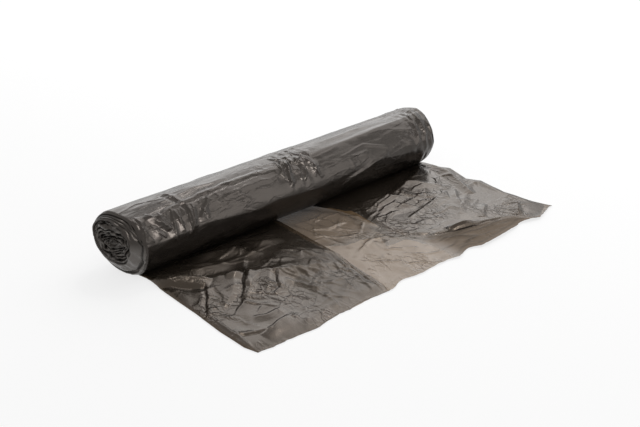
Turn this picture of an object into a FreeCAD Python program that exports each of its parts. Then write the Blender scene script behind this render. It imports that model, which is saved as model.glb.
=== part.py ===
import FreeCAD, Part
import math
import os

# A roll of flat, C-folded bin bags with the first bag partly pulled off, in millimetres.
# X runs along the roll, +Y points to its back, +Z is up. The loose end lies towards -Y.
# The origin is on the surface it rests on, below the middle of the roll's axis.

# Crushed film lies in small flat facets, so every outline is drawn with straight segments.

# The wound roll
roll_length = 400.0
roll_radius = 33.5
foot_width = 18.0           # flat spot that the roll's own weight presses
rim_rounding = 0.9          # how far the outer turn draws in at its two ends
rim_width = 3.0             # length over which it draws in
station_spacing = 16.0      # between the roll's cross-sections
skin_facet_count = 36          # round one cross-section
near_slide = 2.0            # how far the near end's turns have slid out
near_lean_back = 8.0        # how much further at the back, and less at the front
near_lean_up = 3.0          # and at the top
near_lean_length = 70.0     # length over which the turns have slid

# The flattened facets of the outer turn; angles are in degrees from +Y, over the top
ridge_angle_near = 129.0    # of the long ridge, at the near end
ridge_angle_far = 110.0     # and at the far end
back_facet = (-40.0, 26.0, 1.0)     # from one angle to another, and its depth
lower_facet = (186.0, 238.0, 1.1)
top_facet_start = 58.0
top_facet_depth = 1.0
front_facet_depth = 1.6

# The turns seen at the two ends, shown by a spiral groove between them
turn_count = 6
turn_wall = 2.4             # thickness of a raised turn
inner_turn_radius = 4.4     # of the groove where it starts
outer_turn_margin = 3.6     # between the groove's last turn and the roll's skin
turn_relief = 2.6           # depth of the groove
turn_facet_count = 18
crush = 0.55                # how far the turns are squashed out of round
telescope_reach = 6.0       # how far the inner turns stand out at the near end
telescope_radius = 23.5     # radius of the turns that stand out furthest
telescope_shift_y = 2.4     # the turns that stand out also sit back
telescope_shift_z = 2.0     # and a little higher than the axis
circle_point_count = 36

# The bag that has been pulled off
bag_width = 750.0           # flat width of one bag
folded_width = 407.0        # width of the web once both sides are folded in
left_fold_width = 168.0     # of the side folded in at the near end
left_fold_skew = 15.0       # how far that fold's inner edge leans at the free edge
loose_length = 188.0        # from below the roll's axis to the free edge
loose_offset = 12.0         # how far the web's middle is pulled to the far end
web_thickness = 1.1         # two films and the air between them, once
loose_spacing = 10.5        # between the loose end's cross-sections
sample_spacing = 8.5        # between points along one cross-section
edge_ripple = 1.3           # waviness of the free edge
ripple_spacing = 18.0

# Worked out from the sizes above
axis_height = math.sqrt(roll_radius ** 2 - (foot_width / 2) ** 2)
right_fold_width = bag_width - folded_width - left_fold_width
roll_near = -roll_length / 2
roll_far = roll_length / 2
web_near = loose_offset - folded_width / 2
web_far = loose_offset + folded_width / 2
outer_turn_radius = roll_radius - outer_turn_margin
slant_depth = near_slide + near_lean_back + near_lean_up
middle_width = folded_width - left_fold_width - right_fold_width
groove_width = (outer_turn_radius - inner_turn_radius) / turn_count - turn_wall

# Outlines of the loose end: at each share of the way from the roll to the free edge, how far
# the side lies outside its straight line in millimetres
near_side_line = [(0.0, -3.0), (0.12, 1.0), (0.3, -2.0), (0.55, 0.5), (0.75, -1.0), (1.0, 2.0)]
far_side_line = [(0.0, -18.0), (0.12, -11.5), (0.2, -9.0), (0.25, -3.0), (0.42, -12.0),
                 (0.5, -4.0), (0.7, -9.0), (0.9, -4.0), (1.0, 2.0)]

# The far fold's front edge is turned back: how far, as a share of the fold's width
setback_line = [(0.0, -0.11), (0.1, -0.06), (0.23, 0.0), (0.36, 0.03), (0.54, 0.02),
                (0.68, 0.07), (0.81, 0.19), (0.84, 0.33), (0.87, 0.47), (0.92, 0.63), (1.0, 0.79)]

# Creases of the loose end, as shares of the web: start across and along, end across and
# along, then height and half width in millimetres. Across runs from the near side to the far
# side, along from the roll to the free edge.
web_creases = [
    (0.02, 0.14, 0.10, 0.36, 4.6, 13.0),
    (0.03, 0.46, 0.05, 0.60, 2.4, 10.0),
    (0.18, 0.42, 0.05, 0.66, 4.2, 11.0),
    (0.23, 0.50, 0.17, 0.68, 3.2, 10.0),
    (0.15, 0.12, 0.26, 0.18, 2.4, 10.0),
    (0.26, 0.62, 0.29, 0.80, 2.0, 10.0),
    (0.33, 0.40, 0.30, 0.62, 2.8, 10.0),
    (0.04, 0.80, 0.18, 0.86, 2.4, 10.0),
    (0.39, 0.48, 0.38, 0.92, 2.6, 10.0),
    (0.97, 0.14, 0.92, 0.58, 3.6, 11.0),
    (0.98, 0.46, 0.99, 0.90, 2.6, 10.0),
    (0.84, 0.46, 0.80, 0.55, 2.8, 10.0),
    (0.62, 0.34, 0.72, 0.28, 3.0, 10.0),
    (0.65, 0.50, 0.78, 0.48, 3.2, 10.0),
    (0.87, 0.70, 0.84, 0.86, 2.8, 10.0),
    (0.70, 0.78, 0.84, 0.84, 3.4, 11.0),
]

# Creases of the roll's outer turn: start along the roll and angle, end along and angle, then
# height and half width. Along runs from the near end to the far end.
skin_creases = [
    (0.46, 80.0, 0.53, 175.0, 1.3, 13.0),
    (0.10, 95.0, 0.15, 150.0, 1.2, 13.0),
    (0.05, 165.0, 0.17, 140.0, 1.1, 13.0),
    (0.19, 125.0, 0.33, 128.0, 1.2, 10.0),
    (0.64, 185.0, 0.80, 166.0, 1.2, 10.0),
    (0.93, 80.0, 0.96, 165.0, 0.9, 13.0),
    (0.24, 20.0, 0.36, 64.0, 1.0, 13.0),
    (0.60, 12.0, 0.72, 50.0, 1.0, 13.0),
    (0.84, 58.0, 0.88, 4.0, 1.0, 13.0),
]


def spread(count, low, high):
    return [low + (high - low) * i / count for i in range(count + 1)]


def smooth_step(value, low, high):
    share = max(0.0, min(1.0, (value - low) / (high - low)))
    return share * share * (3.0 - 2.0 * share)


def read_line(pairs, share):
    """The value at share on the line through pairs of share and value."""
    for (low, start), (high, end) in zip(pairs, pairs[1:]):
        if share <= high:
            return start + (end - start) * (share - low) / (high - low)
    return pairs[-1][1]


def crease_height(u, v, start, end, height, half_width):
    """A sharp ridge over the segment from start to end, down to nothing at half_width."""
    du = end[0] - start[0]
    dv = end[1] - start[1]
    share = ((u - start[0]) * du + (v - start[1]) * dv) / (du * du + dv * dv)
    share = max(0.0, min(1.0, share))
    away = math.hypot(u - start[0] - share * du, v - start[1] - share * dv)
    return height * max(0.0, 1.0 - away / half_width) ** 1.4


# The wound roll: one cross-section every station_spacing, joined by a ruled loft

def facet(angle, low, high, depth):
    """How far a facet from low to high degrees lies inside the round section."""
    if not low < angle < high:
        return 0.0
    return depth * math.sin(math.pi * (angle - low) / (high - low)) ** 2


def skin_radius(x, angle):
    along = (x - roll_near) / roll_length
    ridge = ridge_angle_near + (ridge_angle_far - ridge_angle_near) * along
    radius = roll_radius - facet(angle, *back_facet) - facet(angle, *lower_facet)
    radius -= facet(angle, top_facet_start, ridge, top_facet_depth)
    radius -= facet(angle, ridge, lower_facet[0], front_facet_depth)
    around = math.radians(angle) * roll_radius
    for start_x, start_angle, end_x, end_angle, height, half_width in skin_creases:
        start = (roll_near + start_x * roll_length, math.radians(start_angle) * roll_radius)
        end = (roll_near + end_x * roll_length, math.radians(end_angle) * roll_radius)
        radius += crease_height(x, around, start, end, height, half_width)
    end_distance = min(x - roll_near, roll_far - x)
    return radius - rim_rounding * (1.0 - smooth_step(end_distance, 0.0, rim_width))


def slid(x, y, z):
    """A point of the section at x, moved along the roll as the near end's turns have slid."""
    lean = 1.0 - smooth_step(x, roll_near, roll_near + near_lean_length)
    out = near_slide + (near_lean_back * y + near_lean_up * (z - axis_height)) / roll_radius
    return FreeCAD.Vector(x - lean * out, y, z)


def roll_section(x):
    """The outer turn's outline at x, with the flat spot that it rests on."""
    foot_angle = math.degrees(math.asin(foot_width / 2 / roll_radius))
    skin = []
    for angle in spread(skin_facet_count, foot_angle - 90.0, 270.0 - foot_angle)[1:-1]:
        radius = skin_radius(x, angle)
        y = radius * math.cos(math.radians(angle))
        z = axis_height + radius * math.sin(math.radians(angle))
        skin.append(slid(x, y, z))
    back = slid(x, foot_width / 2, 0)
    front = slid(x, -foot_width / 2, 0)
    return Part.makePolygon([back] + skin + [front, back])


def wound_roll():
    count = round((roll_length - 2 * rim_width) / station_spacing)
    stations = [roll_near] + spread(count, roll_near + rim_width, roll_far - rim_width) + [roll_far]
    return Part.makeLoft([roll_section(x) for x in stations], True, True)


# The turns at the ends: a spiral groove, cut into the form that the turns are pushed into

def spiral_point(turn, offset, x):
    """A point of the spiral after so many turns, moved outwards by offset."""
    share = turn / turn_count
    radius = inner_turn_radius + (outer_turn_radius - inner_turn_radius) * share + offset
    angle = 2 * math.pi * turn - math.pi / 2
    squash = math.sin(2 * angle + 3 * share) + math.sin(5 * angle + 6 * share) / 2
    radius += crush * squash * math.sin(math.pi * share)
    return FreeCAD.Vector(x, radius * math.cos(angle), axis_height + radius * math.sin(angle))


def spiral_groove(x, reach):
    """What the groove takes away, from the plane at x to x + reach."""
    turns = spread(turn_count * turn_facet_count, 0.0, turn_count)
    outside = [spiral_point(turn, 0.0, x) for turn in turns]
    inside = [spiral_point(turn, -groove_width, x) for turn in reversed(turns)]
    outline = Part.makePolygon(outside + inside + [outside[0]])
    return Part.Face(outline).extrude(FreeCAD.Vector(reach, 0, 0))


def end_circle(x, radius, shift_y, shift_z):
    """A circle across the near end, on the slant of its slid turns."""
    points = []
    for angle in spread(circle_point_count, 0.0, 2 * math.pi):
        y = shift_y + radius * math.cos(angle)
        points.append(slid(x, y, axis_height + shift_z + radius * math.sin(angle)))
    return Part.makePolygon(points[:-1] + points[:1])


def telescoped_cone(depth):
    """The form that the near end's turns are pushed into, set back by depth."""
    base = end_circle(roll_near + depth + rim_width, outer_turn_radius + turn_wall / 2, 0, 0)
    face = end_circle(roll_near - telescope_reach + depth, telescope_radius,
                      telescope_shift_y, telescope_shift_z)
    return Part.makeLoft([base, face], True, True)


def near_end():
    """The near end's inner turns, standing out of the roll."""
    beyond = telescope_reach + slant_depth
    groove = spiral_groove(roll_near - beyond, 2 * beyond)
    return [telescoped_cone(0.0).cut(groove), telescoped_cone(turn_relief)]


def far_end(roll):
    """The far end's turns are level with the outer one."""
    return roll.cut(spiral_groove(roll_far - turn_relief, 2 * turn_relief))


# The loose end: cross-sections along the web, from below the roll to the free edge

def web_height(x, share):
    """Height that the creases add to the web at x, faded out below the roll."""
    width = web_far - web_near
    total = 0.0
    for start_u, start_v, end_u, end_v, height, half_width in web_creases:
        start = (start_u * width, start_v * loose_length)
        end = (end_u * width, end_v * loose_length)
        total += crease_height(x - web_near, share * loose_length, start, end, height, half_width)
    return total * smooth_step(share, 0.1, 0.26)


def web_line(low, high, width, share, thickness):
    """Points of the web's upper surface from low to high, as many as its full width needs."""
    count = round(width / sample_spacing)
    points = []
    for x in spread(count, low, high):
        height = thickness + web_height(x, share)
        points.append(FreeCAD.Vector(x, -loose_length * share, height))
    return points


def web_section(share):
    """The web cut across: two films, and four where a side is folded in."""
    near = web_near + read_line(near_side_line, share)
    far = web_far + read_line(far_side_line, share)
    near_fold = web_near + left_fold_width - left_fold_skew * share ** 2
    far_fold = web_far - right_fold_width * (1.0 - read_line(setback_line, share))
    left = web_line(near, near_fold, left_fold_width, share, 2 * web_thickness)
    middle = web_line(near_fold, far_fold, middle_width, share, web_thickness)
    right = web_line(far_fold, far, right_fold_width, share, 2 * web_thickness)
    near_foot = FreeCAD.Vector(near, -loose_length * share, 0)
    far_foot = FreeCAD.Vector(far, -loose_length * share, 0)
    return Part.makePolygon([near_foot] + left + middle + right + [far_foot, near_foot])


def beyond_free_edge():
    """What is trimmed off the web, so that its free edge runs unevenly."""
    margin = 2 * ripple_spacing
    low = web_near - margin
    high = web_far + margin
    edge = []
    for x in spread(round((high - low) / ripple_spacing), low, high):
        ripple = 1 + math.sin(x / ripple_spacing) * 2 / 3 + math.sin(7 * x / ripple_spacing) / 3
        edge.append(FreeCAD.Vector(x, edge_ripple * ripple - loose_length, -web_thickness))
    outer_y = -loose_length - margin
    corners = [FreeCAD.Vector(x, outer_y, -web_thickness) for x in (high, low)]
    outline = Part.makePolygon(edge + corners + [edge[0]])
    return Part.Face(outline).extrude(FreeCAD.Vector(0, 0, 2 * roll_radius))


def loose_end():
    shares = spread(round(loose_length / loose_spacing), 0.0, 1.0)
    web = Part.makeLoft([web_section(share) for share in shares], True, True)
    return web.cut(beyond_free_edge())


def bag_roll():
    roll = far_end(wound_roll())
    return roll.multiFuse(near_end() + [loose_end()]).Solids[0]


os.makedirs("parts", exist_ok=True)
bag_roll().exportStep("parts/bag_roll.step")
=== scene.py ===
import bpy
import math
import numpy as np
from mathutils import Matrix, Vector


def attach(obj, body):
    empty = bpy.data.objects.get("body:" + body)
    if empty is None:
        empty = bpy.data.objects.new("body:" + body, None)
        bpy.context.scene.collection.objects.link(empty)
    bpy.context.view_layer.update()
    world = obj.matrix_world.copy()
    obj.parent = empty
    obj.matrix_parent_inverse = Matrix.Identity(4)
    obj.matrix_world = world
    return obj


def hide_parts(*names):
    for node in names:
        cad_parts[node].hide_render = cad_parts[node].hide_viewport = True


# Roll of flat, side-folded bin bags with the first bag partly pulled off.
# Places and sizes are in millimetres and angles in degrees, and only the lamps are in metres.

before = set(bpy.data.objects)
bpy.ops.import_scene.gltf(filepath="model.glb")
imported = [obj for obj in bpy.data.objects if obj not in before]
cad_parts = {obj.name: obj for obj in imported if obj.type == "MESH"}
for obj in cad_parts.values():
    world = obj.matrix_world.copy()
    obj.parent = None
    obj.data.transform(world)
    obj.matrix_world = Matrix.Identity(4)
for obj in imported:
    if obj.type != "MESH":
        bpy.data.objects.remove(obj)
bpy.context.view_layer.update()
bpy.ops.object.select_all(action="DESELECT")
print("frame loaded")


# Helpers for shaping film

def smoothStep(low, high, value):
    t = np.clip((value - low) / (high - low), 0.0, 1.0)
    return t * t * (3.0 - 2.0 * t)


def bellOver(value, centre, width):
    return np.exp(-((value - centre) / width) ** 2)


def readLine(pairs, share):
    return np.interp(share, [p[0] for p in pairs], [p[1] for p in pairs])


def softNoise(x, y, seed):  # smooth bumps about one unit across, from -1 to 1
    table = np.random.default_rng(seed).random((64, 64)) * 2.0 - 1.0
    ix, iy = np.floor(x).astype(int), np.floor(y).astype(int)
    fx, fy = x - ix, y - iy
    fx, fy = fx * fx * (3 - 2 * fx), fy * fy * (3 - 2 * fy)
    low = table[ix % 64, iy % 64] * (1 - fx) + table[(ix + 1) % 64, iy % 64] * fx
    high = table[ix % 64, (iy + 1) % 64] * (1 - fx) + table[(ix + 1) % 64, (iy + 1) % 64] * fx
    return low * (1 - fy) + high * fy


def folded(x, y, size, stretch, turn, seed, count=5):  # flat facets between straight folds, about -1 to 1
    chance = np.random.default_rng(seed)
    c, s = math.cos(math.radians(turn)), math.sin(math.radians(turn))
    u, v = (x * c + y * s) / stretch, y * c - x * s
    u = u + 0.16 * size * softNoise(u / size, v / size, seed + 1)
    v = v + 0.16 * size * softNoise(u / size + 5, v / size, seed + 2)
    total = np.zeros(x.shape)
    for i in range(count):
        way = math.pi * (i + 0.7 * chance.random()) / count
        wave = size * (0.8 + 1.3 * chance.random())
        phase = (u * math.cos(way) + v * math.sin(way)) / wave + chance.random()
        strength = 0.5 + 1.2 * softNoise(u / wave / 1.3 + 9 * i, v / wave / 1.3, seed + 3 + i)
        total += np.clip(strength, 0.0, 1.0) * (np.abs((phase % 1.0) * 4 - 2) - 1)
    return total / math.sqrt(count)


def patches(x, y, size, share, seed):  # 1 in soft-edged patches that cover about that share
    return smoothStep(-0.15, 0.25, softNoise(x / size, y / size, seed) + share - 0.5)


def lineDistance(x, y, points):  # distance from a drawn line, the side, and the share along it
    best = np.full(x.shape, 1e9)
    side = np.zeros(x.shape)
    along = np.zeros(x.shape)
    lengths = [math.dist(a, b) for a, b in zip(points, points[1:])]
    done, total = 0.0, sum(lengths)
    for (a, b), length in zip(zip(points, points[1:]), lengths):
        dx, dy = (b[0] - a[0]) / length, (b[1] - a[1]) / length
        t = np.clip((x - a[0]) * dx + (y - a[1]) * dy, 0.0, length)
        d = np.hypot(x - a[0] - t * dx, y - a[1] - t * dy)
        closer = d < best
        best = np.where(closer, d, best)
        side = np.where(closer, np.sign((x - a[0]) * dy - (y - a[1]) * dx), side)
        along = np.where(closer, (done + t) / total, along)
        done += length
    return best, side, along


def creases(x, y, drawn):  # each is height, half width, lean to one side, then its points
    total = np.zeros(x.shape)
    wobbleX = x + 0.8 * softNoise(x / 10, y / 10, 91) + 0.2 * softNoise(x / 4, y / 4, 92)
    wobbleY = y + 0.8 * softNoise(x / 10 + 5, y / 10, 93) + 0.2 * softNoise(x / 4, y / 4 + 5, 94)
    for height, width, lean, *points in drawn:
        d, side, along = lineDistance(wobbleX, wobbleY, points)
        fade = np.clip(4.0 * along * (1.0 - along), 0.0, 1.0) ** 0.5
        reach = width * np.where(side > 0, 1.0 + lean, 1.0 - lean)
        total += height * fade * np.clip(1.0 - d / reach, 0.0, 1.0) ** 1.2
    return total


def scattered(low, high, count, turn, length, height, width, seed):  # short creases within a rectangle
    chance = np.random.default_rng(seed)
    drawn = []
    for _ in range(count):
        x = low[0] + (high[0] - low[0]) * chance.random()
        y = low[1] + (high[1] - low[1]) * chance.random()
        way = math.radians(chance.uniform(*turn))
        after = way + math.radians(chance.uniform(-30, 30))
        half = length * chance.uniform(0.2, 0.5)
        start = (x - half * math.cos(way), y - half * math.sin(way))
        end = (x + half * math.cos(after), y + half * math.sin(after))
        rise, wide = height * chance.uniform(0.4, 1.0), width * chance.uniform(0.6, 1.0)
        drawn.append((rise, wide, chance.choice((-0.75, 0.75)), start, (x, y), end))
    return drawn


def grid(name, across, along):  # a flat grid with its vertices' shares across and along
    bpy.ops.object.select_all(action="DESELECT")
    bpy.ops.mesh.primitive_grid_add(x_subdivisions=across, y_subdivisions=along, size=1)
    piece = bpy.context.object
    piece.name = piece.data.name = name
    co = np.empty(len(piece.data.vertices) * 3)
    piece.data.vertices.foreach_get("co", co)
    co = co.reshape(-1, 3) + 0.5
    return piece, np.clip(co[:, 0], 0, 1), np.clip(co[:, 1], 0, 1)


def moveVertices(piece, x, y, z):
    piece.data.vertices.foreach_set("co", (np.stack([x, y, z], axis=1) / 1000.0).ravel())
    piece.data.update()


def finishFilm(piece, material, closeSeams=False, flip=False):
    bpy.ops.object.select_all(action="DESELECT")
    piece.select_set(True)
    bpy.context.view_layer.objects.active = piece
    bpy.ops.object.mode_set(mode="EDIT")
    bpy.ops.mesh.select_all(action="SELECT")
    if closeSeams:
        bpy.ops.mesh.remove_doubles(threshold=0.00001)
    if flip:
        bpy.ops.mesh.flip_normals()
    bpy.ops.object.mode_set(mode="OBJECT")
    bpy.ops.object.shade_smooth()
    piece.data.materials.clear()
    piece.data.materials.append(material)
    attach(piece, "root")
    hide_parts("bag_roll")
    print(piece.name, len(piece.data.polygons), "faces")


# Camera, floor and light

studio = {
    "cameraAt": (-623.1, -734.4, 476.7), "yaw": 47.474, "pitch": 26.554,
    "lens": 56.66, "frameWidth": 36.0, "nearest": 10.0, "farthest": 50000.0,
    "floorSize": 12000.0, "floorDrop": 0.4,  # the floor lies just under the film
    "whiteSeen": 1.0,        # what the camera and reflections see
    "worldLight": 0.50,      # what lights dull surfaces
    "floorColour": 0.80,     # as a source of bounced light
    "floorShade": 0.26,      # the part of the seen floor that takes shadows
    "floorGlow": 0.74,       # and the part that doesn't
}
lamps = {  # places and sizes in metres
    "backSoftbox": {"at": (0.88, 1.30, 0.86), "width": 1.65, "height": 1.10, "power": 9.6},
    "topSoftbox": {"at": (1.06, 0.02, 1.16), "width": 1.50, "height": 1.20, "power": 10.5},
    "sideSoftbox": {"at": (0.62, -1.38, 0.55), "width": 1.2, "height": 0.85, "power": 5.5, "onlyShine": True},
    "glintLamp": {"at": (0.75, 0.33, 1.62), "width": 0.20, "height": 0.20, "power": 2.0},
    "overLamp": {"at": (-0.06, 0.36, 1.72), "width": 0.24, "height": 0.24, "power": 3.4, "onlyShine": True},
    "fanLamp": {"at": (0.05, -1.60, 0.72), "width": 0.50, "height": 0.40, "power": 9.0, "onlyShine": True},
}

bpy.ops.object.camera_add(location=[v / 1000 for v in studio["cameraAt"]])
camera = bpy.context.object
yaw, pitch = math.radians(studio["yaw"]), math.radians(studio["pitch"])
aim = Vector((math.cos(yaw) * math.cos(pitch), math.sin(yaw) * math.cos(pitch), -math.sin(pitch)))
camera.rotation_euler = aim.to_track_quat("-Z", "Y").to_euler()
camera.data.sensor_width = studio["frameWidth"]
camera.data.lens = studio["lens"]
camera.data.clip_start, camera.data.clip_end = studio["nearest"] / 1000, studio["farthest"] / 1000
bpy.context.scene.camera = camera


def addMath(nodes, operation, kind="ShaderNodeMath"):
    node = nodes.new(kind)
    node.operation = operation
    return node


def whiteWhereSeen(tree):  # 1 for the camera, reflections and what shows through
    path = tree.nodes.new("ShaderNodeLightPath")
    first = addMath(tree.nodes, "MAXIMUM")
    second = addMath(tree.nodes, "MAXIMUM")
    tree.links.new(path.outputs["Is Camera Ray"], first.inputs[0])
    tree.links.new(path.outputs["Is Glossy Ray"], first.inputs[1])
    tree.links.new(first.outputs[0], second.inputs[0])
    tree.links.new(path.outputs["Is Transmission Ray"], second.inputs[1])
    return second.outputs[0]


world = bpy.data.worlds.new("studioWorld")
bpy.context.scene.world = world
world.use_nodes = True
tree = world.node_tree
tree.nodes.clear()
dull = tree.nodes.new("ShaderNodeBackground")
seen = tree.nodes.new("ShaderNodeBackground")
for node, strength in ((dull, studio["worldLight"]), (seen, studio["whiteSeen"])):
    node.inputs["Color"].default_value = (1, 1, 1, 1)
    node.inputs["Strength"].default_value = strength
mix = tree.nodes.new("ShaderNodeMixShader")
out = tree.nodes.new("ShaderNodeOutputWorld")
tree.links.new(whiteWhereSeen(tree), mix.inputs[0])
tree.links.new(dull.outputs[0], mix.inputs[1])
tree.links.new(seen.outputs[0], mix.inputs[2])
tree.links.new(mix.outputs[0], out.inputs[0])

floorAt = (0, 0, -studio["floorDrop"] / 1000)
bpy.ops.mesh.primitive_plane_add(size=studio["floorSize"] / 1000, location=floorAt)
floor = bpy.context.object
floor.name = "floor"
floorMaterial = bpy.data.materials.new("floorWhite")
floorMaterial.use_nodes = True
tree = floorMaterial.node_tree
tree.nodes.clear()
bounce = tree.nodes.new("ShaderNodeBsdfDiffuse")
shaded = tree.nodes.new("ShaderNodeBsdfDiffuse")
for node, grey in ((bounce, studio["floorColour"]), (shaded, studio["floorShade"])):
    node.inputs["Color"].default_value = (grey, grey, grey, 1)
glow = tree.nodes.new("ShaderNodeEmission")
glow.inputs["Strength"].default_value = studio["floorGlow"]
add = tree.nodes.new("ShaderNodeAddShader")
pick = tree.nodes.new("ShaderNodeMixShader")
out = tree.nodes.new("ShaderNodeOutputMaterial")
tree.links.new(shaded.outputs[0], add.inputs[0])
tree.links.new(glow.outputs[0], add.inputs[1])
tree.links.new(whiteWhereSeen(tree), pick.inputs[0])
tree.links.new(bounce.outputs[0], pick.inputs[1])
tree.links.new(add.outputs[0], pick.inputs[2])
tree.links.new(pick.outputs[0], out.inputs[0])
floor.data.materials.append(floorMaterial)


def softbox(name, box):
    bpy.ops.object.light_add(type="AREA", location=box["at"])
    lamp = bpy.context.object
    lamp.name = name
    lamp.data.shape = "RECTANGLE"
    lamp.data.size, lamp.data.size_y = box["width"], box["height"]
    lamp.data.energy = box["power"]
    lamp.rotation_euler = (-Vector(box["at"])).to_track_quat("-Z", "Y").to_euler()
    lamp.visible_diffuse = not box.get("onlyShine", False)  # some show only in the film's shine


for name, box in lamps.items():
    softbox(name, box)
bpy.context.scene.view_settings.view_transform = "Standard"
print("camera, floor and light ready")


# Materials

crinkles = {
    "driftScale": 45.0, "drift": 12.0,  # how far the creases wander
    "crestWidth": 0.12,  # of the fine creases, as a share of a cell
    "plateShare": 0.34, "foldWidth": 0.055, "foldHeight": 1.5,  # the longer folds between larger cells
    "patchScale": 22.0, "patchFrom": 0.46, "patchTo": 0.64,  # smooth film between creased patches
    "grainScale": 260.0, "grainHeight": 0.4, "depth": 0.6,
}
film = {"cloudScale": 14.0, "glossier": 0.05, "duller": 0.07, "refraction": 1.5}  # what all the film shares


def addNoise(nodes, place, scale, detail=2.0):
    noise = nodes.new("ShaderNodeTexNoise")
    noise.inputs["Scale"].default_value = scale
    noise.inputs["Detail"].default_value = detail
    noise.id_data.links.new(place, noise.inputs["Vector"])
    return noise


def addEdges(nodes, place, scale):  # distance from the edges of cells
    cells = nodes.new("ShaderNodeTexVoronoi")
    cells.feature = "DISTANCE_TO_EDGE"
    cells.id_data.links.new(place, cells.inputs["Vector"])
    cells.id_data.links.new(scale, cells.inputs["Scale"])
    return cells.outputs["Distance"]


def crinkleGroup():  # fine creases of thin film, as a height
    group = bpy.data.node_groups.new("filmCrinkle", "ShaderNodeTree")
    group.interface.new_socket(name="Scale", in_out="INPUT", socket_type="NodeSocketFloat")
    group.interface.new_socket(name="Stretch", in_out="INPUT", socket_type="NodeSocketVector")
    group.interface.new_socket(name="Height", in_out="OUTPUT", socket_type="NodeSocketFloat")
    nodes, links = group.nodes, group.links
    given, result = nodes.new("NodeGroupInput"), nodes.new("NodeGroupOutput")
    place = nodes.new("ShaderNodeTexCoord")
    scaled = addMath(nodes, "MULTIPLY", "ShaderNodeVectorMath")
    links.new(place.outputs["Object"], scaled.inputs[0])
    links.new(given.outputs["Stretch"], scaled.inputs[1])
    drift = addNoise(nodes, scaled.outputs[0], crinkles["driftScale"], 3.0)
    shift = addMath(nodes, "SCALE", "ShaderNodeVectorMath")
    shift.inputs["Scale"].default_value = crinkles["drift"] / 1000
    links.new(drift.outputs["Color"], shift.inputs[0])
    moved = addMath(nodes, "ADD", "ShaderNodeVectorMath")
    links.new(scaled.outputs[0], moved.inputs[0])
    links.new(shift.outputs[0], moved.inputs[1])
    crest = nodes.new("ShaderNodeMapRange")
    crest.inputs["From Max"].default_value = crinkles["crestWidth"]
    crest.inputs["To Min"].default_value = 1.0
    crest.inputs["To Max"].default_value = 0.0
    links.new(addEdges(nodes, moved.outputs[0], given.outputs["Scale"]), crest.inputs["Value"])
    grain = addNoise(nodes, moved.outputs[0], crinkles["grainScale"], 4.0)
    grain.inputs["Roughness"].default_value = 0.6
    wider = addMath(nodes, "MULTIPLY")
    wider.inputs[1].default_value = crinkles["plateShare"]
    links.new(given.outputs["Scale"], wider.inputs[0])
    fold = nodes.new("ShaderNodeMapRange")
    fold.inputs["From Max"].default_value = crinkles["foldWidth"]
    fold.inputs["To Min"].default_value = crinkles["foldHeight"]
    fold.inputs["To Max"].default_value = 0.0
    links.new(addEdges(nodes, moved.outputs[0], wider.outputs[0]), fold.inputs["Value"])
    patch = addNoise(nodes, place.outputs["Object"], crinkles["patchScale"])
    gate = nodes.new("ShaderNodeMapRange")
    gate.inputs["From Min"].default_value = crinkles["patchFrom"]
    gate.inputs["From Max"].default_value = crinkles["patchTo"]
    links.new(patch.outputs["Fac"], gate.inputs["Value"])
    both = addMath(nodes, "ADD")
    links.new(crest.outputs[0], both.inputs[0])
    links.new(fold.outputs[0], both.inputs[1])
    gated = addMath(nodes, "MULTIPLY")
    links.new(both.outputs[0], gated.inputs[0])
    links.new(gate.outputs[0], gated.inputs[1])
    total = addMath(nodes, "MULTIPLY_ADD")
    total.inputs[1].default_value = crinkles["grainHeight"]
    links.new(grain.outputs["Fac"], total.inputs[0])
    links.new(gated.outputs[0], total.inputs[2])
    links.new(total.outputs[0], result.inputs["Height"])
    return group


crinkle = crinkleGroup()


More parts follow.
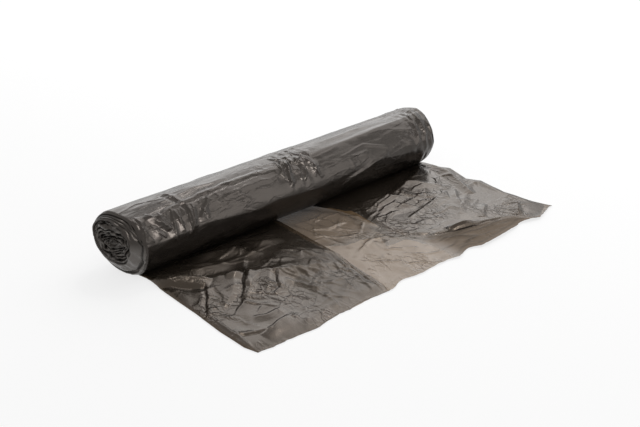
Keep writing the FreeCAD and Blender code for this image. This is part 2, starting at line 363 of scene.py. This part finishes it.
def filmMaterial(name, look):
    material = bpy.data.materials.new(name)
    material.use_nodes = True
    nodes, links = material.node_tree.nodes, material.node_tree.links
    shader = nodes["Principled BSDF"]
    creased = nodes.new("ShaderNodeGroup")
    creased.node_tree = crinkle
    creased.inputs["Scale"].default_value = look["crinkleScale"]
    creased.inputs["Stretch"].default_value = look["stretch"]
    bump = nodes.new("ShaderNodeBump")
    bump.inputs["Strength"].default_value = look["bump"]
    bump.inputs["Distance"].default_value = crinkles["depth"] / 1000
    links.new(creased.outputs["Height"], bump.inputs["Height"])
    links.new(bump.outputs["Normal"], shader.inputs["Normal"])
    place = nodes.new("ShaderNodeTexCoord")
    cloud = addNoise(nodes, place.outputs["Object"], film["cloudScale"], 5.0)
    colour = nodes.new("ShaderNodeMix")
    colour.data_type = "RGBA"
    colour.inputs["A"].default_value = look["dark"] + (1,)
    colour.inputs["B"].default_value = look["light"] + (1,)
    links.new(cloud.outputs["Fac"], colour.inputs["Factor"])
    shade = colour.outputs["Result"]
    if "singleFilmAndPaintedLight" in look:  # paler where a single film lies on the floor; the same mix carries painted shade and painted light on the loose bag, and a painted floor reflection and painted crest highlights on the end turns
        layersAndPaintedLight = nodes.new("ShaderNodeAttribute")
        layersAndPaintedLight.attribute_name = "layersAndPaintedLight"
        stacked = nodes.new("ShaderNodeMix")
        stacked.data_type = "RGBA"
        stacked.inputs["A"].default_value = look["singleFilmAndPaintedLight"] + (1,)
        links.new(layersAndPaintedLight.outputs["Fac"], stacked.inputs["Factor"])
        links.new(shade, stacked.inputs["B"])
        shade = stacked.outputs["Result"]
        thin = nodes.new("ShaderNodeMapRange")
        thin.inputs["To Min"].default_value = look["singleAlpha"]
        thin.inputs["To Max"].default_value = 1.0
        links.new(layersAndPaintedLight.outputs["Fac"], thin.inputs["Value"])
        links.new(thin.outputs[0], shader.inputs["Alpha"])
    links.new(shade, shader.inputs["Base Color"])
    rough = nodes.new("ShaderNodeMapRange")
    rough.inputs["To Min"].default_value = look["rough"] - film["glossier"]
    rough.inputs["To Max"].default_value = look["rough"] + film["duller"]
    links.new(cloud.outputs["Fac"], rough.inputs["Value"])
    links.new(rough.outputs[0], shader.inputs["Roughness"])
    if "hazier" in look:  # slack film has a softer shine
        slack = nodes.new("ShaderNodeAttribute")
        slack.attribute_name = "slack"
        haze = addMath(nodes, "MULTIPLY_ADD")
        haze.inputs[1].default_value = look["hazier"]
        links.new(slack.outputs["Fac"], haze.inputs[0])
        links.new(rough.outputs[0], haze.inputs[2])
        links.new(haze.outputs[0], shader.inputs["Roughness"])
    shader.inputs["IOR"].default_value = film["refraction"]
    shader.inputs["Specular Tint"].default_value = look["tint"] + (1,)
    return material


rollLook = {"dark": (0.0085, 0.0072, 0.0062), "light": (0.015, 0.013, 0.0112), "tint": (1.0, 0.88, 0.79),
            "rough": 0.23, "crinkleScale": 130.0, "stretch": (0.45, 1.0, 1.0), "bump": 0.4}
looseLook = {"dark": (0.013, 0.010, 0.0078), "light": (0.024, 0.019, 0.014), "tint": (1.0, 0.81, 0.65),
             "singleFilmAndPaintedLight": (0.125, 0.080, 0.042), "singleAlpha": 0.94, "hazier": 0.45,
             "rough": 0.21, "crinkleScale": 150.0, "stretch": (1.0, 0.7, 1.0), "bump": 0.42}
# the end turns' paler grey is painted light: a painted reflection of the white floor and painted highlights
# on the turns' crests
turnsLook = {"dark": (0.006, 0.005, 0.0042), "light": (0.012, 0.0105, 0.009), "tint": (1.0, 0.88, 0.79),
             "singleFilmAndPaintedLight": (0.17, 0.16, 0.15), "singleAlpha": 1.0,
             "rough": 0.26, "crinkleScale": 160.0, "stretch": (1.0, 1.0, 1.0), "bump": 0.5}
rollFilm = filmMaterial("rollFilm", rollLook)
looseFilm = filmMaterial("looseFilm", looseLook)
turnsFilm = filmMaterial("turnsFilm", turnsLook)
print("materials ready")


# The wound roll's outer turn

roll = {
    "length": 400.0, "radius": 33.5, "axisHeight": 32.27,
    "columns": 460, "rows": 208,
    "nearDrawIn": 0.9, "nearRim": 0.8, "farDrawIn": 1.2, "farDrawInLength": 12.0, "farRim": 0.5,
    "slide": 2.0, "leanBack": 8.0, "leanUp": 3.0, "leanLength": 70.0,  # of the near end's turns
    "long": 0.80, "middle": 0.25, "smoother": 0.5, "ring": 0.6, "fan": 0.2, "farEnd": 0.7,  # creases
    "back": 1.0, "top": 1.0, "front": 1.6, "lowerFront": 1.5,  # how deep each flat band is
    # where the top meets the front, and the front turns under, as shares along the roll and angles
    "ridge": [(0.0, 129), (1.0, 110)],
    "lowerRidge": [(0.0, 170), (0.12, 169), (0.19, 166), (0.26, 172), (0.34, 178), (0.41, 173), (0.48, 178),
                   (0.56, 181), (0.66, 176), (0.76, 172), (0.86, 178), (1.0, 178)],
}

rollCreases = [  # height, half width, lean, then share along the roll and angle of each point
    (1.5, 7, 0.3, (1.0, 108), (0.895, 110), (0.704, 114.5), (0.56, 115)),
    (1.5, 6, 0.5, (0.44, 115), (0.365, 113), (0.25, 114), (0.168, 118), (0.116, 122), (0.07, 129),
     (0.0, 118)),
    (-1.5, 4.5, 0.3, (0.43, 125), (0.365, 119), (0.30, 121), (0.25, 119), (0.168, 123), (0.116, 127),
     (0.072, 135)),
    (1.4, 4, 0.3, (0.448, 84), (0.455, 97), (0.473, 115), (0.466, 140), (0.458, 162)),
    (-0.8, 3, 0.0, (0.462, 84), (0.467, 97), (0.485, 115), (0.477, 140)),
    (1.3, 4, -0.3, (0.505, 84), (0.52, 104), (0.541, 121), (0.558, 158)),
    (-0.8, 3, 0.0, (0.517, 84), (0.532, 104), (0.552, 121)),
    (1.2, 4, 0.4, (0.47, 110), (0.50, 122), (0.53, 108)),
    (1.0, 4, 0.4, (0.455, 97), (0.49, 104), (0.52, 96)),
    (-0.6, 2.4, 0.3, (0.108, 70), (0.115, 79), (0.13, 112), (0.144, 134), (0.141, 151)),
    (0.9, 4, 0.3, (0.122, 70), (0.13, 82), (0.145, 112), (0.158, 132)),
    (0.9, 4, 0.3, (0.22, 122), (0.20, 138), (0.17, 160)),
    (1.9, 6, 0.4, (0.81, 164), (0.727, 176), (0.652, 190), (0.62, 204)),
    (0.8, 4, 0.0, (0.26, 136), (0.36, 131), (0.43, 136)),
    (0.7, 4, 0.3, (0.56, 150), (0.66, 146), (0.74, 150)),
    (1.0, 5, 0.3, (0.93, 84), (0.945, 120), (0.93, 160)),
    (1.1, 5, -0.3, (0.965, 90), (0.975, 130), (0.96, 172)),
    (0.8, 5, 0.2, (0.62, 96), (0.74, 92), (0.86, 97)),
    (0.7, 4, 0.2, (0.10, 104), (0.20, 98), (0.30, 101)),
]


def slidX(x, y, z):  # the near end's turns have slid along each other
    lean = 1 - smoothStep(0.0, roll["leanLength"], x + roll["length"] / 2)
    out = roll["leanBack"] * y + roll["leanUp"] * (z - roll["axisHeight"])
    return x - lean * (roll["slide"] + out / roll["radius"])


def rollSkinRadius(x, angle):  # the outer turn's plain, faceted section
    along = (x + roll["length"] / 2) / roll["length"]
    ridge, lowerRidge = readLine(roll["ridge"], along), readLine(roll["lowerRidge"], along)

    def flatBand(low, high):  # 1 in the middle of the band and 0 outside it
        t = np.clip((angle - low) / (high - low), 0.0, 1.0)
        return np.abs(np.sin(math.pi * t)) ** 1.1

    radius = roll["radius"] - roll["back"] * flatBand(-40.0, 26.0)
    radius = radius - roll["lowerFront"] * flatBand(lowerRidge, 238.0)
    return radius - roll["top"] * flatBand(58.0, ridge) - roll["front"] * flatBand(ridge, lowerRidge)


def rollDetail(x, angle):  # creases and crumples of the outer turn, in millimetres
    along = (x + roll["length"] / 2) / roll["length"]
    around = np.radians(angle) * roll["radius"]
    height = roll["long"] * folded(x, around, 19, 5.5, 2, 11)
    height += roll["middle"] * patches(x, around, 26, 0.5, 15) * folded(x, around, 9, 2.6, -10, 23)
    height *= 1 - roll["smoother"] * (bellOver(along, 0.70, 0.15) + bellOver(along, 0.33, 0.12))
    ring = bellOver(along, 0.50, 0.05) * smoothStep(60, 85, angle) * (1 - smoothStep(158, 176, angle))
    gathered = folded(x, around, 6, 2.4, 76, 41) + 0.6 * folded(x, around, 12, 1.5, 40, 43)
    height += ring * roll["ring"] * gathered
    fan = smoothStep(-0.02, 0.02, along) * (1 - smoothStep(0.19, 0.25, along))
    fan *= smoothStep(124, 140, angle) * (1 - smoothStep(156, 168, angle))
    height += fan * roll["fan"] * (folded(x, around, 7, 2.6, 62, 47) + folded(x, around, 7, 2.6, 112, 49))
    end = smoothStep(0.85, 0.96, along)
    height += end * roll["farEnd"] * folded(x, around, 9, 3.2, 78, 53)
    drawn = []
    for rise, width, lean, *points in rollCreases:
        placed = [((u - 0.5) * roll["length"], math.radians(a) * roll["radius"]) for u, a in points]
        drawn.append((rise, width, lean, *placed))
    drawn += scattered((-195, 30), (195, 95), 44, (-12, 12), 76, 0.5, 3.4, 81)
    drawn += scattered((-196, 80), (-114, 94), 18, (48, 112), 34, 1.7, 4.6, 83)  # the fan at the near end
    drawn += scattered((-22, 48), (24, 94), 26, (45, 130), 22, 1.0, 5.0, 85)     # the ring
    drawn += scattered((165, 30), (196, 100), 26, (60, 115), 24, 0.9, 4.0, 87)   # the gathered far end
    return height + creases(x, around, drawn)


# the grid is finer where the creases are crisp
closerAlong = [(0.0, 0.0), (0.25, 0.20), (0.50, 0.44), (0.66, 0.56), (0.88, 0.84), (1.0, 1.0)]
closerAround = [(0.0, -90.0), (0.19, 40.0), (0.85, 205.0), (1.0, 270.0)]

outerTurn, share, turn = grid("outerTurn", roll["columns"], roll["rows"])
share, angle = readLine(closerAlong, share), readLine(closerAround, turn)
x = (share - 0.5) * roll["length"]
settle = smoothStep(-90, -65, angle) * (1 - smoothStep(245, 270, angle))  # no creases in the flat foot
fromNear, fromFar = share * roll["length"], (1 - share) * roll["length"]
radius = rollSkinRadius(x, angle) + settle * rollDetail(x, angle)
radius -= (roll["nearDrawIn"] * (1 - smoothStep(0.0, 3.0, fromNear))
           + roll["nearRim"] * (1 - smoothStep(0.0, 1.2, fromNear)))
gather = 1 + 0.7 * softNoise(angle / 24 + 9, np.full(angle.shape, 3.0), 57)
radius -= roll["farDrawIn"] * gather * (1 - smoothStep(0.0, roll["farDrawInLength"], fromFar)) ** 2
radius -= roll["farRim"] * (1 - smoothStep(0.0, 1.0, fromFar))
y = radius * np.cos(np.radians(angle))
z = np.maximum(roll["axisHeight"] + radius * np.sin(np.radians(angle)), 0.15)
moveVertices(outerTurn, slidX(x, y, z), y, z)
finishFilm(outerTurn, rollFilm, closeSeams=True, flip=True)


# The turns at the two ends

ends = {
    "rings": 120, "spokes": 260, "rimRadius": 32.4, "rimGap": 1.1, "turnSpacing": 2.8,
    "near": {"side": -1, "discRadius": 22.5, "shiftBack": 2.0, "shiftUp": 3.6,
             "depth": 4.8, "mess": 2.1, "seed": 61},
    "far": {"side": 1, "discRadius": 30.0, "shiftBack": 0.0, "shiftUp": 0.0,
            "depth": 1.8, "mess": 0.5, "seed": 71},
}
# how far each radius stands out: at the near end's top and back, at its front and below, and at the far end
steppedTurns = [(0.0, 6.0), (22.0, 6.0), (22.3, 3.6), (22.9, 3.6), (23.2, 6.8), (25.2, 6.2), (25.5, 3.4),
                (26.1, 3.4), (26.4, 4.8), (28.0, 4.0), (28.3, 1.2), (28.9, 1.2), (29.2, 2.8), (30.4, 1.8),
                (30.7, -1.2), (31.3, -1.2), (31.6, 0.5), (32.4, -0.6)]
gatheredTurns = [(0.0, 6.0), (22.0, 6.0), (22.3, 3.4), (22.9, 3.4), (23.3, 6.8), (24.2, 6.6), (28.5, 2.2),
                 (28.9, -3.4), (30.4, -3.6), (30.8, 0.8), (31.8, 0.6), (32.4, -0.8)]
levelTurns = [(0.0, 0.0), (30.0, 0.0), (31.5, -0.6), (32.4, -1.2)]


def makeEnd(name, look):
    piece, spin, out = grid(name, ends["spokes"], ends["rings"])
    angle = spin * 2 * math.pi
    rim = roll["length"] / 2 * look["side"]
    degrees = (spin * 360.0 + 90.0) % 360.0 - 90.0
    nominal = out * ends["rimRadius"]
    r = out * (rollSkinRadius(np.full(out.shape, rim), degrees) - ends["rimGap"])
    inward = 1 - smoothStep(look["discRadius"], 31.0, nominal)  # 1 on the disc that stands out
    polygon = np.abs((spin * 7 + 0.3) % 1.0 * 2 - 1) - 0.5  # the turns are a little seven-sided
    r = r + 0.45 * polygon * inward * smoothStep(15.0, 24.0, nominal)
    cy, cz = r * np.cos(angle), r * np.sin(angle)
    flat = 1 - smoothStep(8.0, look["discRadius"], nominal)  # the innermost turns are squashed
    oval = np.hypot(cy * (1 - 0.25 * flat), (cz + 2 * flat) * (1 + 0.4 * flat))
    wander = 1.3 * softNoise(cy * 0.16 + 9, cz * 0.2 + 9, look["seed"])
    wander += 0.6 * softNoise(cy * 0.4 + 9, cz * 0.4 + 9, look["seed"] + 1)
    turns = (oval + wander * (0.3 + 0.7 * flat)) / ends["turnSpacing"] + spin
    within = turns % 1.0
    gap = np.exp(-((within - 0.5) / 0.17) ** 2)
    gap *= np.clip(0.7 + 0.7 * softNoise(cy * 0.25, cz * 0.25 + 20, look["seed"] + 2), 0.15, 1.2)
    way = 2.2 * np.sin(angle) + 2.2 * np.cos(angle) + 30
    level = softNoise(np.floor(turns + 0.5) * 3.3, way, look["seed"] + 3)
    onDisc = 1 - smoothStep(look["discRadius"] - 1.0, look["discRadius"], nominal)
    height = onDisc * (0.9 * look["mess"] * level - look["depth"] * gap)
    crushed = 0.8 * folded(cy, cz, 6, 1.7, 20, look["seed"] + 5)
    crushed += 0.4 * folded(cy, cz, 3, 1.5, 50, look["seed"] + 7)
    height += onDisc * look["mess"] * crushed
    if look["side"] < 0:
        top = smoothStep(-0.30, 0.12, np.cos(angle - math.radians(60)))
        height += readLine(steppedTurns, nominal) * top + readLine(gatheredTurns, nominal) * (1 - top)
        front = np.clip(0.3 - np.cos(angle), 0.0, 1.0)
        dented = 2.0 * front * folded(cy, cz, 8, 1.6, 60, look["seed"] + 6)
        dented += (0.5 + 0.5 * front) * folded(30 * angle, nominal, 3, 5.0, 0, look["seed"] + 8)
        height += (1 - onDisc) * dented
    else:
        height += readLine(levelTurns, nominal)
    y = cy + look["shiftBack"] * inward
    z = np.maximum(roll["axisHeight"] + cz + look["shiftUp"] * inward, 0.3)
    x = rim + look["side"] * height
    x = slidX(x, y, z) if look["side"] < 0 else x - 0.3
    moveVertices(piece, x, y, z)
    # painted reflection of the white floor: the near end's outer turns are paler on their lower front side
    paintedFloorReflection = (1 - onDisc) * smoothStep(0.1, 0.6, -np.sin(angle + math.radians(25))) * (look["side"] < 0)
    layersAndPaintedLight = piece.data.attributes.new("layersAndPaintedLight", "FLOAT", "POINT")
    crests = np.clip(1 - 1.5 * gap, 0.0, 1.0)
    paintedCrestHighlight = onDisc * crests * patches(cy, cz, 3.0, 0.4, look["seed"] + 9)  # painted highlights on the turns' crests, in patches
    layersAndPaintedLight.data.foreach_set("value", (1 - 0.8 * paintedFloorReflection - 0.6 * paintedCrestHighlight).astype(np.float32))
    finishFilm(piece, turnsFilm, closeSeams=True, flip=look["side"] > 0)


makeEnd("nearTurns", ends["near"])
makeEnd("farTurns", ends["far"])


# The bag that has been pulled off, still C-folded

loose = {
    "near": -191.5, "far": 215.5, "leftFold": 168.0, "rightFold": 175.0, "leftTaper": 15.0,
    "length": 188.0, "filmGap": 0.9,
    # columns of the left fold, under it, the middle strip, under the right fold, and the right fold
    "rows": 165, "columns": [168, 40, 66, 124, 172],
    "big": 1.25, "middle": 0.40, "puckered": 0.2, "curl": 2.4,  # creases
}

# along the bag: how far its sides stray from straight, and what share the right fold is narrower
nearSide = [(0.0, -3.0), (0.12, 1.0), (0.3, -1.5), (0.55, -2.0), (0.75, -4.0), (0.93, -3.5), (1.0, 0.5)]
farSide = [(0.0, -18.0), (0.12, -11.5), (0.2, -9.0), (0.25, -3.0), (0.42, -12.0),
           (0.5, -4.0), (0.7, -9.0), (0.9, -4.0), (1.0, 2.0)]
setback = [(0.0, -0.11), (0.1, -0.06), (0.23, 0.0), (0.36, 0.03), (0.54, 0.02),
           (0.68, 0.07), (0.81, 0.19), (0.84, 0.33), (0.87, 0.47), (0.92, 0.63), (1.0, 0.79)]
# beyond this x the middle strip's film is coloured darker
darkerFrom = [(0.0, -40.0), (0.47, -26.0), (0.545, -10.0), (0.56, 14.0), (0.595, 30.0), (0.70, 19.0),
              (0.71, 46.0), (0.87, 55.0), (1.0, 52.0)]
# how far from the roll's axis the free edge lies at each x
frontEdge = [(-195, 187), (-178, 189), (-150, 191.5), (-126, 193), (-100, 190), (-50, 190.5), (-36, 192),
             (-14, 187), (4, 190), (47, 190.5), (57, 194), (79, 189), (90, 194), (117, 196), (159, 190),
             (182, 196), (212, 188)]

leftCreases = [  # height, half width, lean, then x and y of each point
    (4.5, 27, 0.6, (-200, -30), (-160, -66), (-125, -78), (-98, -96), (-66, -106)),
    (5.2, 9, 0.5, (-196, -24), (-176, -46), (-152, -72)),
    (-3.4, 6, 0.2, (-194, -44), (-180, -60), (-166, -80)),
    (1.6, 22, 0.0, (-110, -74), (-129, -91), (-145, -106), (-180, -130)),
    (-4.2, 7, 0.3, (-113, -75), (-129, -91), (-137, -102), (-152, -113), (-175, -128)),
    (1.4, 1.6, 0.0, (-129, -94), (-137, -104), (-152, -115)),
    (2.6, 7, -0.6, (-113, -74), (-126, -89), (-134, -100), (-148, -112)),
    (2.4, 16, 0.0, (-94, -98), (-109, -113), (-126, -127)),
    (-3.2, 5, 0.3, (-97, -100), (-109, -113), (-114, -121), (-125, -126)),
    (2.0, 12, 0.0, (-160, -70), (-173, -91), (-192, -115)),
    (-2.2, 3, 0.2, (-161, -72), (-173, -91), (-192, -116)),
    (1.8, 6, 0.6, (-138, -74), (-123, -80)),
    (1.6, 5, 0.6, (-98, -115), (-91, -129), (-86, -149)),
    (3.6, 10, 0.5, (-140, -20), (-114, -31), (-88, -36)),
    (2.6, 8, 0.5, (-168, -34), (-146, -46), (-118, -52)),
    (2.2, 8, 0.5, (-84, -30), (-64, -44), (-46, -50)),
    (1.8, 8, 0.5, (-99, -53), (-108, -66), (-117, -78)),
    (1.6, 7, 0.5, (-92, -37), (-87, -53), (-80, -60)),
    (1.3, 2.6, 0.4, (-188, -113), (-189, -145), (-189, -180)),
    (1.0, 6, 0.7, (-162, -143), (-150, -150), (-133, -150)),
    (1.3, 8, 0.7, (-173, -170), (-155, -167), (-136, -162)),
    (0.9, 5, -0.6, (-136, -162), (-132, -173)),
    (1.2, 7, -0.6, (-189, -150), (-183, -160), (-160, -168)),
    (1.4, 2.6, 0.3, (-27, -34), (-30, -94), (-31, -118), (-37, -152), (-43, -187)),
    (-0.9, 2, 0.0, (-30, -94), (-32, -118), (-39, -152), (-45, -187)),
    (1.4, 5, -0.5, (-41, -88), (-34, -107), (-44, -154), (-51, -184)),
    (1.3, 5, 0.6, (-60, -80), (-48, -91), (-43, -105)),
    (1.2, 5, -0.6, (-55, -103), (-72, -118)),
    (1.2, 6, 0.6, (-81, -101), (-85, -127), (-83, -157)),
    (1.0, 5, 0.6, (-89, -164), (-93, -183)),
    (1.0, 7, -0.6, (-156, -82), (-161, -102), (-170, -116)),
    (1.0, 6, 0.7, (-66, -124), (-58, -150), (-62, -176)),
    (3.4, 30, -0.6, (-100, -100), (-70, -112), (-30, -130)),
]
rightCreases = [
    (3.4, 8, 0.4, (200, -13), (196, -58), (176, -111)),
    (1.4, 5, 0.5, (204, -90), (207, -169)),
    (2.8, 8, 0.6, (190, -145), (192, -160), (173, -178)),
    (1.8, 7, 0.6, (166, -136), (140, -156)),
    (1.6, 6, 0.6, (158, -87), (146, -102)),
    (4.0, 24, 0.6, (60, -46), (100, -58), (150, -44), (196, -20)),
    (1.0, 5, 0.6, (59, -63), (80, -60), (100, -54)),
    (1.1, 5, 0.6, (70, -68), (106, -59)),
    (1.0, 4, 0.6, (64, -76), (98, -70)),
    (1.0, 5, 0.6, (84, -82), (134, -75), (150, -90)),
    (1.0, 4, -0.6, (53, -97), (78, -86)),
    (1.2, 5, 0.6, (80, -105), (141, -91)),
    (4.2, 10, 0.8, (66, -144), (98, -156), (122, -162), (151, -172), (184, -185)),
    (5.0, 9, 0.0, (88, -150), (104, -156), (118, -159)),
    (0.9, 6, 0.7, (72, -118), (112, -122)),
    (1.5, 8, 0.6, (120, -40), (150, -52), (170, -84)),
    (1.0, 5, -0.7, (110, -62), (128, -80)),
    (1.0, 5, 0.7, (92, -72), (108, -92)),
    (1.0, 6, 0.7, (150, -110), (170, -124)),
]
webCreases = [
    (4.2, 10, 0.8, (66, -144), (98, -156), (122, -162), (151, -172), (184, -185)),
    (2.6, 8, 0.8, (74, -163), (100, -170), (126, -175), (150, -183)),
    (2.2, 7, 0.8, (84, -177), (112, -182), (140, -187)),
    (0.8, 2.2, 0.2, (-3, -47), (4, -43), (36, -44), (39, -78), (19, -94)),
    (0.8, 2.2, 0.2, (19, -94), (-1, -86), (-18, -67), (-3, -47)),
    (0.7, 2.2, 0.2, (30, -52), (12, -70), (20, -84)),
    (0.9, 3.0, 0.4, (29, -122), (16, -135), (31, -146)),
    (0.8, 3.0, 0.0, (-21, -22), (-9, -98)),
    (1.2, 3.5, 0.3, (112, -171), (146, -174)),
    (1.2, 3.5, 0.2, (60, -150), (84, -166), (104, -180)),
    (0.9, 3.0, 0.2, (-10, -120), (20, -110), (38, -116)),
    (0.7, 2.5, 0.2, (-14, -142), (8, -160), (4, -186)),
    (0.7, 2.5, 0.2, (22, -150), (36, -168), (60, -176)),
    (1.4, 5, 0.6, (-18, -34), (6, -38), (26, -34)),
    (1.2, 5, -0.5, (-14, -52), (2, -64), (28, -66)),
    (1.0, 4, 0.5, (2, -30), (16, -52), (12, -74)),
]


def foldLines(share):
    near = loose["near"] + readLine(nearSide, share)
    far = loose["far"] + readLine(farSide, share)
    nearFold = loose["near"] + loose["leftFold"] - loose["leftTaper"] * share ** 2
    farFold = loose["far"] - loose["rightFold"] * (1 - readLine(setback, share))
    return near, far, nearFold, farFold


columns = loose["columns"]
looseBag, across, along = grid("looseBag", sum(columns), loose["rows"])
column = np.rint(across * sum(columns)).astype(int)
section = np.digitize(column, np.cumsum(columns)[:-1])  # 0 to 4, in the order of the columns
started = np.concatenate([[0], np.cumsum(columns)])[section]
within = (column - started) / np.array(columns)[section]
near, far, nearFold, farFold = foldLines(along)
lows = np.stack([nearFold, near, nearFold, farFold, far])
highs = np.stack([near, nearFold, farFold, far, farFold])
each = np.arange(len(column))
x = lows[section, each] * (1 - within) + highs[section, each] * within
leftFold, middleStrip, rightFold = section == 0, section == 2, section == 4
top = leftFold | rightFold
leftHalf = section < 2
ripple = 0.6 * np.sin(x / 7.3 + 1.0) + 0.5 * softNoise(x / 4, np.zeros(x.shape), 15) - 0.5
recede = np.clip(2.0 * softNoise(x / 19, np.full(x.shape, 3.0), 19) + 0.3, 0.0, 2.0) * top
bulge = readLine(frontEdge, x) + ripple - recede - loose["length"]
y = -along * loose["length"] - bulge * along ** 5
fromRoll = smoothStep(0.05, 0.16, along)
foldEdge = np.where(leftHalf, np.abs(x - near), np.abs(far - x))  # distance from the bag's folded side
openEdge = np.where(leftHalf, np.abs(nearFold - x), np.abs(x - farFold))  # and from the fold's free edge

folds = loose["big"] * (folded(x, y, 38, 1.6, 35, 111) + 0.4)
folds += loose["middle"] * patches(x, y, 40, 0.55, 112) * folded(x, y, 14, 2.2, 30, 113)
puckers = bellOver(x, -58.0, 24.0) * bellOver(y, -122.0, 42.0) * folded(x, y, 7, 2.6, -65, 119)
folds += loose["puckered"] * puckers
folds *= smoothStep(0.0, 9.0, foldEdge) * (0.35 + 0.65 * smoothStep(0.0, 8.0, openEdge))
leftCreases += scattered((-94, -176), (-34, -66), 38, (60, 135), 32, 1.1, 4.2, 131)
leftCreases += scattered((-186, -176), (-60, -76), 34, (0, 180), 34, 0.7, 4.0, 133)
leftCreases += scattered((-160, -58), (-50, -16), 16, (-45, 15), 55, 0.9, 5.0, 135)
rightCreases += scattered((56, -100), (165, -46), 10, (-14, 22), 52, 0.6, 4.6, 137)
rightCreases += scattered((90, -170), (205, -30), 24, (-60, 60), 44, 0.9, 5.0, 139)
webCreases += scattered((-24, -184), (100, -24), 30, (0, 180), 26, 0.45, 2.4, 141)
webCreases += scattered((50, -184), (150, -150), 12, (-15, 15), 40, 0.7, 4.0, 143)  # the crumpled hem
drawn = np.where(leftHalf, creases(x, y, leftCreases), creases(x, y, rightCreases))
folds = np.maximum((folds + drawn * smoothStep(-3.0, 7.0, foldEdge)) * fromRoll, 0.0)
settled = smoothStep(-2.0, 16.0, (1 - along) * loose["length"])  # the free edge lies down flat
closed = np.where(leftFold, 1.0, smoothStep(0.0, 8.0, openEdge))
gap = loose["filmGap"] * smoothStep(0.0, 2.5, foldEdge) * closed
upper = 0.4 + settled * (0.1 + gap + folds)
web = 0.25 + 0.45 * (folded(x, y, 17, 1.8, 70, 101) + 0.7) + 0.12 * (folded(x, y, 6, 1.6, 40, 103) + 0.8)
web = web * np.where(middleStrip | (section == 3), 1.0, 0.3 * settled) * fromRoll + 0.15
web += fromRoll * creases(x, y, webCreases) * (section > 1)
web += np.where(middleStrip, 0.0, folds * (1 - smoothStep(0.0, 6.0, foldEdge)))
liftedEdge = [(loose["curl"], 9, 0.0, (30, -197), (90, -197), (150, -197), (222, -192))]
z = np.maximum(np.where(top, upper, web), 0.1) + creases(x, y, liftedEdge)
moveVertices(looseBag, x, y, z)

# how much of the film lies double, with painted shade and painted light added, read by the material as its
# layer attribute
lines = creases(x, y, [(1.0, 1.8, 0.0, *crease[3:]) for crease in webCreases])
shares = np.linspace(0.0, 1.0, 18)
wideness = loose["rightFold"] * (1 - readLine(setback, shares))
foldLine = list(zip(loose["far"] + readLine(farSide, shares) - wideness, -shares * loose["length"]))
# painted light: the darker part of the strip is paler towards the roll, where the roll shades it
singleFilmAndPaintedLight = 0.06 + 0.60 * smoothStep(0.4, 0.55, along)
singleFilmAndPaintedLight = singleFilmAndPaintedLight * smoothStep(-1.0, 1.0, x - readLine(darkerFrom, along)) + 0.45 * np.clip(lines, 0.0, 1.0)
# painted shadow along the right fold's edge on the strip
singleFilmAndPaintedLight += 0.35 * (1 - smoothStep(0.0, 7.0, lineDistance(x, y, foldLine)[0])) - 0.2 * smoothStep(50, 70, x)
singleFilmAndPaintedLight += 0.25 * (1 - smoothStep(0.0, 2.0, np.abs(along * loose["length"] - 183.0)))
rim = np.minimum(foldEdge, (1 - along) * loose["length"])
double = 1.0 - 0.25 * (openEdge < 5.0) * leftFold - 0.15 * (1 - smoothStep(1.0, 4.0, rim))
layersAndPaintedLight = looseBag.data.attributes.new("layersAndPaintedLight", "FLOAT", "POINT")
layersAndPaintedLight.data.foreach_set("value", np.where(top, double, np.clip(singleFilmAndPaintedLight, 0.0, 0.9)).astype(np.float32))

# slack film: the far half's hem, the left fold's middle and its free edge, the strip, and near the roll
slack = 0.95 * middleStrip * smoothStep(52, 76, x) * smoothStep(0.70, 0.80, along)
slack += 0.55 * leftFold * bellOver(x, -60, 30) * bellOver(y, -104, 24)
slack += 0.40 * leftFold * bellOver(x, -70, 34) * bellOver(y, -160, 24)
slack += 0.12 * middleStrip * smoothStep(0.9, 0.3, along)
patchy = np.clip(0.5 + softNoise(x / 14, y / 8, 151), 0, 1)
slack += 0.70 * leftFold * bellOver(x, -110, 60) * bellOver(y, -44, 24) * patchy
hazy = looseBag.data.attributes.new("slack", "FLOAT", "POINT")
hazy.data.foreach_set("value", np.clip(slack, 0.0, 1.0).astype(np.float32))
finishFilm(looseBag, looseFilm)

print("pieces ready")
